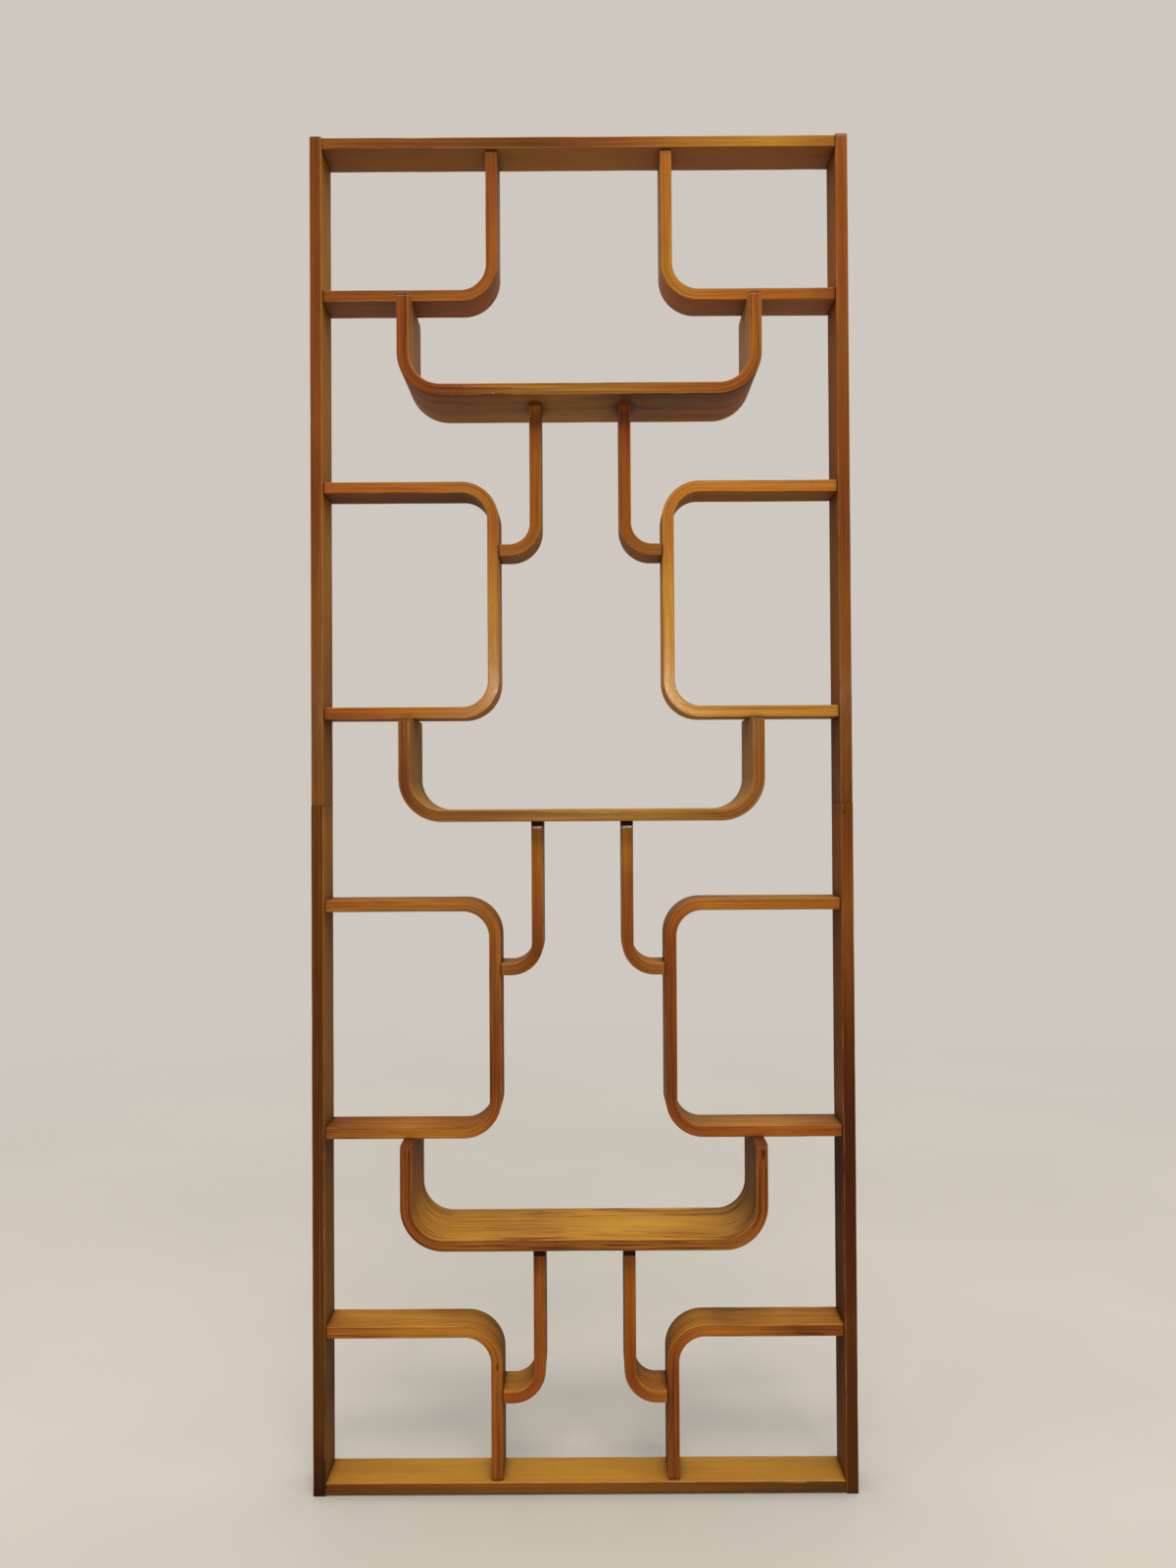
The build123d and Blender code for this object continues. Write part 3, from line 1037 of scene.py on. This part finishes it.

# %% [markdown]
# ## The shade of each board
# No two blanks on the real divider came from the same stack. The lower side boards are
# the darkest and reddest, the hooks are a plain brown, and some loops and the trays lean
# to gold. A look has four numbers: how light and how golden a board's edges are, and how
# much lighter and more golden its faces are. A grain says how strong the arches, the
# fibres and the dark lines are. Gloss is given for edges and faces apart, because the
# undersides near the top reflect the pale floor. A shade slope makes a face darker or
# lighter from front to back, on the outer and on the inner side of the board, as painted shade.

# %% Choose the shades
# how light and how golden the edges are, and how much more the faces are
looks = {
    "left_upper_side": (0.400, 0.09, 0.200, 0.46), "right_upper_side": (0.400, 0.12, 0.120, 0.25),
    "left_lower_side": (0.300, 0.25, 0.130, 0.40), "right_lower_side": (0.300, 0.05, 0.080, 0.30),
    "top_rail": (0.460, 0.35, 0.120, 0.20), "bottom_rail": (0.410, 0.35, 0.200, 0.50),
    "left_upper_bracket": (0.465, 0.20, 0.055, 0.30), "right_upper_bracket": (0.535, 0.45, 0.085, 0.10),
    "left_lower_bracket": (0.550, 0.50, 0.070, 0.20), "right_lower_bracket": (0.495, 0.25, 0.065, 0.40),
    "left_upper_loop": (0.555, 0.45, 0.065, 0.30), "right_upper_loop": (0.650, 0.70, 0.020, 0.20),
    "left_lower_loop": (0.495, 0.32, 0.055, 0.10), "right_lower_loop": (0.490, 0.30, 0.060, 0.20),
    "top_tray": (0.495, 0.42, 0.085, 0.33), "middle_tray": (0.515, 0.65, 0.075, 0.40),
    "bottom_tray": (0.472, 0.45, 0.120, 0.50), "hooks": (0.475, 0.18, 0.065, 0.40),
}
# the strength of the arches, of the fibres and of the dark lines
grains = {
    "bent_boards": (0.016, 0.80, 0.07), "hooks": (0.010, 0.70, 0.05), "trays": (0.016, 0.80, 0.07),
    "side_boards": (0.010, 0.48, 0.03), "rails": (0.010, 0.45, 0.03),
    "top_tray": (0.045, 0.90, 0.06), "bottom_tray": (0.020, 0.80, 0.28),
    "left_lower_bracket": (0.020, 0.80, 0.18), "right_lower_bracket": (0.020, 0.80, 0.16),
    "left_lower_loop": (0.016, 0.80, 0.20),
}
# the gloss of the edges and of the faces
plain_gloss, dull_gloss = (0.07, 0.08), (0.06, 0.038)
glosses = {}
for node in frame["nodes"]:
    dull = "side" in node or "bottom" in node or "lower_bracket" in node
    glosses[node] = dull_gloss if dull else plain_gloss
glosses.update({
    "top_rail": (0.04, 0.29), "top_tray": (0.09, 0.20), "right_lower_side": (0.06, 0.020),
    "right_upper_side": (0.09, 0.030), "left_upper_side": (0.09, 0.042), "left_lower_loop": (0.08, 0.03),
})
# the painted shade from front to back, as a slope, on the outer and on the inner side
plain_shade_slopes = (back_shade, back_shade)
shade_slopes = {"top_rail": (back_shade, 0.6), "top_tray": (1.6, back_shade)}
for side in sides:
    shade_slopes[side + "_upper_bracket"] = (1.0, back_shade)
    glosses[side + "_upper_bracket"] = (0.07, 0.26)
    glosses[side + "_upper_loop"] = (0.13, 0.06)
snug_ends = {"bent_boards": "both ends", "rails": "both ends", "hooks": "last end"}
print("looks:", len(looks))

# %% [markdown]
# ## The tones along a board
# A single board also changes from end to end: a tray is golden in the middle of its shelf
# and redder on its arms, and a side board is darker near the floor. Noise alone would put
# such changes anywhere, so each board has a few stops: how far along the board, how much
# lighter, and how much more golden, all in hundredths. The first table is for the whole
# board, with less weight on its faces, and the second is for the faces alone. On the trays,
# the face stops at both ends darken the inner faces of the arms lower down and lighten
# them on the top tray: painted shade and painted light.

# %% Choose the tones
# how far along, how much lighter and how much more golden, in hundredths
tones = {
    "top_tray": [(0, -13, -50), (16, -12, -50), (27, -17, 0), (38, -5, 38), (60, -5, 33), (80, -6, -20),
                 (90, -4, 0), (100, -4, -35)],
    "middle_tray": [(0, -16, -50), (14, -22, -50), (22, -11, 5), (30, -14, -10), (50, -8, 20),
                    (62, -5, 35), (80, -11, -5), (100, -10, -18)],
    "bottom_tray": [(0, -13, -50), (21, -12, -20), (30, -5, 15), (45, -14, 15), (50, -8, 20),
                    (60, -3, 35), (80, -5, 0), (90, -10, -50), (100, -11, -60)],
    "left_upper_bracket": [(0, -10, -20), (12, -4, 0), (45, -1, 10), (60, 1, 10), (100, -4, -12)],
    "right_upper_bracket": [(0, 3, 30), (45, 3, 40), (60, 1, 15), (88, -3, 5), (100, -13, -30)],
    "left_lower_bracket": [(0, -6, -10), (15, -7, 0), (28, 2, 20), (48, 3, 10), (58, -4, -15),
                           (75, -6, -40), (100, -11, -50)],
    "right_lower_bracket": [(0, -6, -20), (15, -15, 0), (28, 2, 15), (45, 6, 15), (56, -3, -20),
                            (68, -12, -25), (100, -8, -10)],
    "left_upper_loop": [(0, -2, -20), (28, 0, 5), (36, -8, -10), (50, 3, 45), (70, 2, 50), (85, 1, 15),
                        (100, -10, -25)],
    "right_upper_loop": [(0, -3, -25), (22, -1, -10), (36, -6, -20), (50, 3, 30), (72, 4, 30),
                         (85, -1, -10), (100, -6, -10)],
    "left_lower_loop": [(0, -3, 5), (25, 2, 25), (45, -8, -10), (62, -17, -50), (72, 0, 0), (85, 8, 8),
                        (95, -3, -10), (100, -4, -15)],
    "right_lower_loop": [(0, 0, 5), (25, 6, 35), (36, -10, -25), (62, -15, -45), (75, -5, -30),
                         (88, 5, -25), (100, -2, -30)],
    "top_rail": [(0, 3, 5), (12, 13, 45), (30, 5, 25), (42, -6, 10), (58, -16, 20), (75, -10, 5),
                 (88, -9, -15), (100, -3, -10)],
    "bottom_rail": [(0, -19, 50), (20, -13, 50), (35, -9, 40), (50, -3, 25), (70, -1, 15), (85, -7, 5),
                    (100, -13, 0)],
    "left_upper_side": [(0, -6, 50), (15, -7, 35), (30, -3, 25), (47, -8, -5), (57, -1, 5), (75, -5, 5),
                        (88, -3, 10), (100, -7, 5)],
    "left_lower_side": [(0, -34, 30), (10, -7, 30), (35, -7, 30), (60, -6, 10), (88, -2, -10),
                        (100, -4, -10)],
    "right_upper_side": [(0, -12, 20), (20, -2, 20), (30, -2, 20), (42, -6, -10), (50, -4, -25),
                         (80, 1, 0), (100, 4, 15)],
    "right_lower_side": [(0, -10, 20), (15, -11, 10), (25, -6, 5), (35, -12, -20), (52, -19, -10),
                         (66, -5, 0), (85, 9, 40), (100, -1, 20)],
    "top_left_hook": [(0, 6, -30), (2, 4, -30), (4.5, -5, -30), (8, -12, -30), (11, -20, -30),
                      (15, -12, -25), (20, -7, -20), (30, -2, -15), (100, 1, 10)],
    "top_right_hook": [(0, -3, -30), (2, -5, -30), (5, -13, -30), (11, -17, -25), (15, -10, -20),
                       (30, -3, -15), (70, -2, 0), (100, -5, 30)],
    "middle_left_hook": [(0, 5, 70), (40, -5, 25), (75, -13, -5), (100, -3, 40)],
    "middle_right_hook": [(0, 15, 60), (10, 12, 45), (30, -5, 10), (70, -12, -10), (100, -1, 30)],
    "bottom_left_hook": [(0, 0, 5), (40, -4, -10), (75, -7, -25), (100, -5, -20)],
    "bottom_right_hook": [(0, 6, 5), (40, 2, 0), (75, -5, 0), (100, 7, 45)],
}
# the stops at the ends of each tray darken its arms' inner faces as painted shade, and lighten them on the
# top tray as painted light
face_tones = {
    "left_lower_side": [(0, 6, 10), (6, 0, 10), (14, -11, 10), (28, 3, 5), (48, -2, 0), (58, 6, 0),
                        (80, 8, 0), (97, 19, 5), (100, 10, 0)],
    "left_upper_side": [(0, -6, -10), (22, -8, -10), (34, 2, -5), (42, 8, -5), (100, 8, 0)],
    "right_lower_side": [(0, 5, 10), (14, -6, 10), (30, -7, 10), (36, -3, 10), (47, -12, 10),
                         (56, 7, 10), (63, -1, 0), (72, 2, 0), (80, 2, 0), (97, 12, 10), (100, 5, 0)],
    "right_upper_side": [(0, -9, 0), (25, -7, 5), (40, -7, 5), (55, 0, 0)],
    "left_upper_loop": [(0, -16, 0), (15, -21, 0), (28, -25, 0), (36, 0, 0)],
    "right_upper_loop": [(0, -11, 0), (28, -12, 0), (36, 0, 0)],
    "left_lower_loop": [(0, 0, 0), (70, -6, -5), (85, -2, 0), (100, -13, -5)],
    "right_lower_loop": [(0, 0, 0), (68, -12, 10), (80, -5, 10), (100, -9, 10)],
    "left_lower_bracket": [(0, -7, -10), (10, -1, 0), (34, -1, 0), (50, -8, 0), (70, -16, 0),
                           (100, -20, 0)],
    "right_lower_bracket": [(0, 2, 0), (20, 1, 10), (27, -6, 0), (38, -10, 10), (47, 0, 10),
                            (70, -14, 0), (100, -16, 0)],
    "top_tray": [(0, 4, 0), (26, -2, -10), (45, 6, 5), (53, 1, 0), (57, -7, -10), (62, -12, -20),
                 (80, -3, -20), (90, 8, 0), (100, 7, 10)],
    "middle_tray": [(0, -8, -10), (15, -6, -10), (30, 0, 0), (80, 0, 0), (100, -5, 0)],
    "bottom_left_hook": [(70, -15, 0), (80, 4, 20), (100, 6, 20)],
    "bottom_right_hook": [(70, -15, 0), (80, 0, 10)],
    "bottom_tray": [(0, -15, -10), (15, 0, 10), (24, 3, 10), (33, -2, 0), (40, -1, 0), (46, 5, 5),
                    (60, 4, 5), (68, 3, 0), (75, -1, 0), (86, -14, -5), (100, -22, -10)],
    "top_rail": [(0, -8, -35), (25, 0, -25), (45, 6, 20), (65, 7, 35), (80, -2, 10), (100, -7, 10)],
}
print("boards with tones:", len(tones), "and on their faces:", len(face_tones))

# %% [markdown]
# ## Small marks and painted shadows
# Years of use have left dark spots and smudges. The smudges round the hooks' tops under
# the top tray are painted shadows of the hooks. They have no depth, so they are painted,
# and the chip and the crack are darkened in the same way. A mark is a place on the front
# edge or under the top tray, how far it reaches each way, and how dark it is. A ragged
# noise makes its outline uneven.

# %% Name the small marks and painted shadows
deep = 0.004
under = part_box("top_tray")[0].z
# x, how far behind the front edge, and z, then the reach each way, then how dark
marks_and_shadows = {
    "bottom_tray": [((0.2778, 0.0, 0.5420), (0.0034, deep, 0.0110), 0.85)],
    "top_tray": [((-0.2765, 0.003, 1.8795), (0.0050, deep, 0.0050), 0.85),
                 ((0.2785, 0.002, 1.8790), (0.0030, deep, 0.0035), 0.7),
                 ((-0.0240, 0.110, under), (0.0150, 0.0070, deep), 0.35),
                 ((0.0030, 0.095, under), (0.0110, 0.005, deep), 0.30),
                 # the next three are painted shadows of the hooks on the top tray's underside, round their
                 # tops
                 ((0.0713, 0.070, under), (0.0260, 0.056, deep), 0.50),
                 ((-0.0713, 0.070, under), (0.0200, 0.052, deep), 0.45),
                 ((0.1120, 0.078, under), (0.0300, 0.009, deep), 0.30)],
    "left_lower_bracket": [((-0.1385, 0.0, 0.1975), (0.0016, deep, 0.0070), 0.85)],
    "right_lower_side": [((0.4137, 0.0, 1.0713), (0.0022, deep, 0.0032), 0.9),
                         ((0.4270, 0.0, 0.7991), (0.0014, deep, 0.0030), 0.8)],
    "left_lower_side": [((-0.4229, 0.0, 0.6713), (0.0015, deep, 0.0032), 0.8),
                        ((-0.4098, 0.0, 0.0340), (0.0022, deep, 0.0400), 0.9),
                        ((-0.4098, 0.0, 0.1300), (0.0016, deep, 0.0800), 0.55)],
    "right_lower_loop": [((0.1465, 0.0, 0.7024), (0.0010, deep, 0.0045), 0.8)],
    "right_lower_bracket": [((0.2300, 0.0, 0.2462), (0.0700, deep, 0.0009), 0.6),
                            ((0.3600, 0.0, 0.2470), (0.0300, deep, 0.0013), 0.75)],
}


def dress_of(node, slot, front):
    """All that the finish of one board needs to know about its looks."""
    placed = [((x, front + back, z), reach, depth) for (x, back, z), reach, depth in marks_and_shadows.get(node, ())]
    return {
        "look": looks.get(node) or looks[slot],
        "grain": grains.get(node) or grains[slot],
        "gloss": glosses[node],
        "shade_slopes": shade_slopes.get(node, plain_shade_slopes),
        "snug": snug_ends.get(slot),
        "tones": tones.get(node),
        "face_tones": face_tones.get(node),
        "marks_and_shadows": placed,
    }


print("boards with marks:", len(marks_and_shadows))

# %% [markdown]
# ## The bent boards
# Each family of boards is drawn once on the right-hand side as a short list of corners
# on its outer face, always turning left, and the left-hand ones are mirrored. Each corner
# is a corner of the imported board's box, so a list needs no sizes. Every board gets its
# own seed, so no two show the same grain.

# %% Build a board and dress it
up_left, up_right, down_left, down_right = (0, 1), (1, 1), (0, 0), (1, 0)
families = {
    "upper_bracket": ("bent_boards", loop_bend, (up_left, down_left, down_right)),
    "lower_bracket": ("bent_boards", loop_bend, (up_right, up_left, down_left)),
    "loop": ("bent_boards", loop_bend, (up_right, up_left, down_left, down_right)),
    "hook": ("hooks", hook_bend, (up_left, down_left, down_right)),
    "tray": ("trays", tray_bend, (up_left, down_left, down_right, up_right)),
    "side": ("side_boards", 0, (down_right, up_right)),
    "rail": ("rails", 0, (up_right, up_left)),
}
first_seed, seed_step = 1.0, 1.37
made = {}


def mirror_piece(piece):
    """Turns a right-hand board into a left-hand one."""
    piece.data.transform(Matrix.Scale(-1, 4, (1, 0, 0)))
    piece.data.flip_normals()


def build_board(node, family, side=1, arm=0.0, rounding=end_rounding, thickness=board_thickness, step=0.0):
    """Sweeps a board for a node, cuts its holes, dresses it and hands it to the frame."""
    slot, radius, corners = families[family]
    low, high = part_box(node)
    if side < 0:
        low.x, high.x = -high.x, -low.x
    high.x -= step
    seed = first_seed + len(made) * seed_step
    stretches = stretches_of([((low, high)[x].x, (low, high)[z].z) for x, z in corners], radius)
    worn = worn_places.get(node, ())
    piece = sweep(node + "_board", stretches, thickness - step, low.y, high.y, seed, arm, rounding, worn)
    if side < 0:
        mirror_piece(piece)
    holes = holes_in(piece) + dents_in(piece, node, low.y)
    sharpen(piece.data)
    store_places(piece, node, stretches, low.y, side < 0)
    dress = dress_of(node, slot, low.y)
    piece.data.materials.clear()
    finish = wood_finish(node + "_wood", seed, thickness - step, length_of(stretches), dress)
    piece.data.materials.append(finish)
    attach(piece, "root")
    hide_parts(node)
    made[node] = piece
    print(node, "faces", len(piece.data.polygons), "holes and dents", holes)


print("families of boards:", len(families))

# %% Make the bent boards
for side, sign in sides.items():
    build_board(side + "_upper_bracket", "upper_bracket", sign)
    build_board(side + "_lower_bracket", "lower_bracket", sign)
    build_board(side + "_upper_loop", "loop", sign)
    build_board(side + "_lower_loop", "loop", sign)
    for level in levels:
        build_board(level + "_" + side + "_hook", "hook", sign)
for level in levels:
    build_board(level + "_tray", "tray", arm=arm_corner)
print("bent boards made:", len(made))

# %% [markdown]
# ## The straight boards
# The sides and rails are flat boards of the same wood, so they are swept along a line
# with a single stretch. On the real divider each side is two boards, and the lower one
# stands out by less than a millimetre at the seam. The upper boards here are therefore a
# little thinner on their outer face.

# %% Make the side boards and rails
seam_step = 0.0005
side_rounding = 0.0007
rail_low, rail_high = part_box("top_rail")
side_low, side_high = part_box("right_upper_side")
rail_thickness = rail_high.z - rail_low.z
side_sizes = {"rounding": side_rounding, "thickness": side_high.x - side_low.x}
for side, sign in sides.items():
    build_board(side + "_upper_side", "side", sign, step=seam_step, **side_sizes)
    build_board(side + "_lower_side", "side", sign, **side_sizes)
build_board("top_rail", "rail", thickness=rail_thickness)
build_board("bottom_rail", "rail", thickness=rail_thickness)
print("boards made:", len(made))

# %% [markdown]
# ## Spacers, screws, dowels and tongues
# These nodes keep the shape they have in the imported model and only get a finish. The
# spacers are small blocks stained nearly black, but the thin ones under the top tray look
# reddish brown. The screws are dull zinc with grime and a little rust. The dowels and
# tongues are raw beech, and only show where boards are apart.


# %% Dress the small parts
stain_scale, dust_scale = (60.0, 60.0, 900.0), (210.0, 210.0, 210.0)
zinc_scale, rust_scale = (900.0, 900.0, 900.0), (230.0, 230.0, 230.0)
fleck_scale = (900.0, 900.0, 90.0)
dust_span, rust_span = (0.55, 0.8, 0.0, 0.2), (0.58, 0.72, 0.0, 0.7)
dust_colour = (0.05, 0.03, 0.02, 1.0)
rust_colour = (0.16, 0.075, 0.03, 1.0)
black_stain = ((0.3, (0.007, 0.003, 0.001)), (0.7, (0.020, 0.008, 0.004)))
brown_stain = ((0.3, (0.060, 0.016, 0.003)), (0.7, (0.130, 0.038, 0.008)))
zinc = ((0.3, (0.24, 0.225, 0.20)), (0.7, (0.50, 0.48, 0.45)))
beech = ((0.3, (0.40, 0.24, 0.12)), (0.6, (0.60, 0.42, 0.25)))


def spacer_finish(name, stain):
    """A dark stain over fine wood, with a little dust on it."""
    material = bpy.data.materials.new(name)
    w = Wires(material)
    fine = w.noise(w.scaled_place(stain_scale), detail=3.0)
    dust = w.noise(w.scaled_place(dust_scale), detail=4.0)
    colour = w.mix(w.span(dust, *dust_span), w.ramp(fine, stain), dust_colour)
    shader = w.add("BsdfPrincipled", Base_Color=colour, Roughness=w.times_plus(dust, 0.3, 0.5),
                   Normal=w.bump(fine, 0.0001, 0.5), Specular_IOR_Level=0.2, IOR=1.3)
    w.end(shader.outputs[0])
    return material


def screw_finish():
    """Dull zinc, turned lightly, with grime and a few freckles of rust."""
    material = bpy.data.materials.new("dull_zinc")
    w = Wires(material)
    grime = w.noise(w.scaled_place(zinc_scale), detail=4.0)
    rust = w.span(w.noise(w.scaled_place(rust_scale), detail=3.0), *rust_span)
    colour = w.mix(rust, w.ramp(grime, zinc), rust_colour)
    shader = w.add("BsdfPrincipled", Base_Color=colour, Roughness=w.times_plus(grime, 0.25, 0.32),
                   Normal=w.bump(grime, 0.00005, 0.4), Metallic=w.minus(0.95, rust))
    w.end(shader.outputs[0])
    return material


def beech_finish():
    """Raw beech with short flecks, for the hidden dowels and tongues."""
    material = bpy.data.materials.new("raw_beech")
    w = Wires(material)
    fleck = w.noise(w.scaled_place(fleck_scale), detail=3.0)
    shader = w.add("BsdfPrincipled", Base_Color=w.ramp(fleck, beech), Roughness=0.7,
                   Normal=w.bump(fleck, 0.0001, 0.4))
    w.end(shader.outputs[0])
    return material


small_finishes = {
    "spacers": spacer_finish("black_stain", black_stain),
    "top": spacer_finish("brown_stain", brown_stain),
    "screws": screw_finish(),
    "dowels": beech_finish(),
}
for part in frame["record"]["subparts"]:
    finish = small_finishes.get(part["material_slot"])
    if part["node"].startswith("top_") and part["node"].endswith("_spacer"):
        finish = small_finishes["top"]
    if finish:
        mesh = frame["nodes"][part["node"]].data
        mesh.materials.clear()
        mesh.materials.append(finish)
print("small parts dressed")

# %% [markdown]
# ## Finish
# The last cell prints how many boards were made. The dressed model must stay inside the
# box of the imported one.

# %% Finish
print("boards made:", len(made))
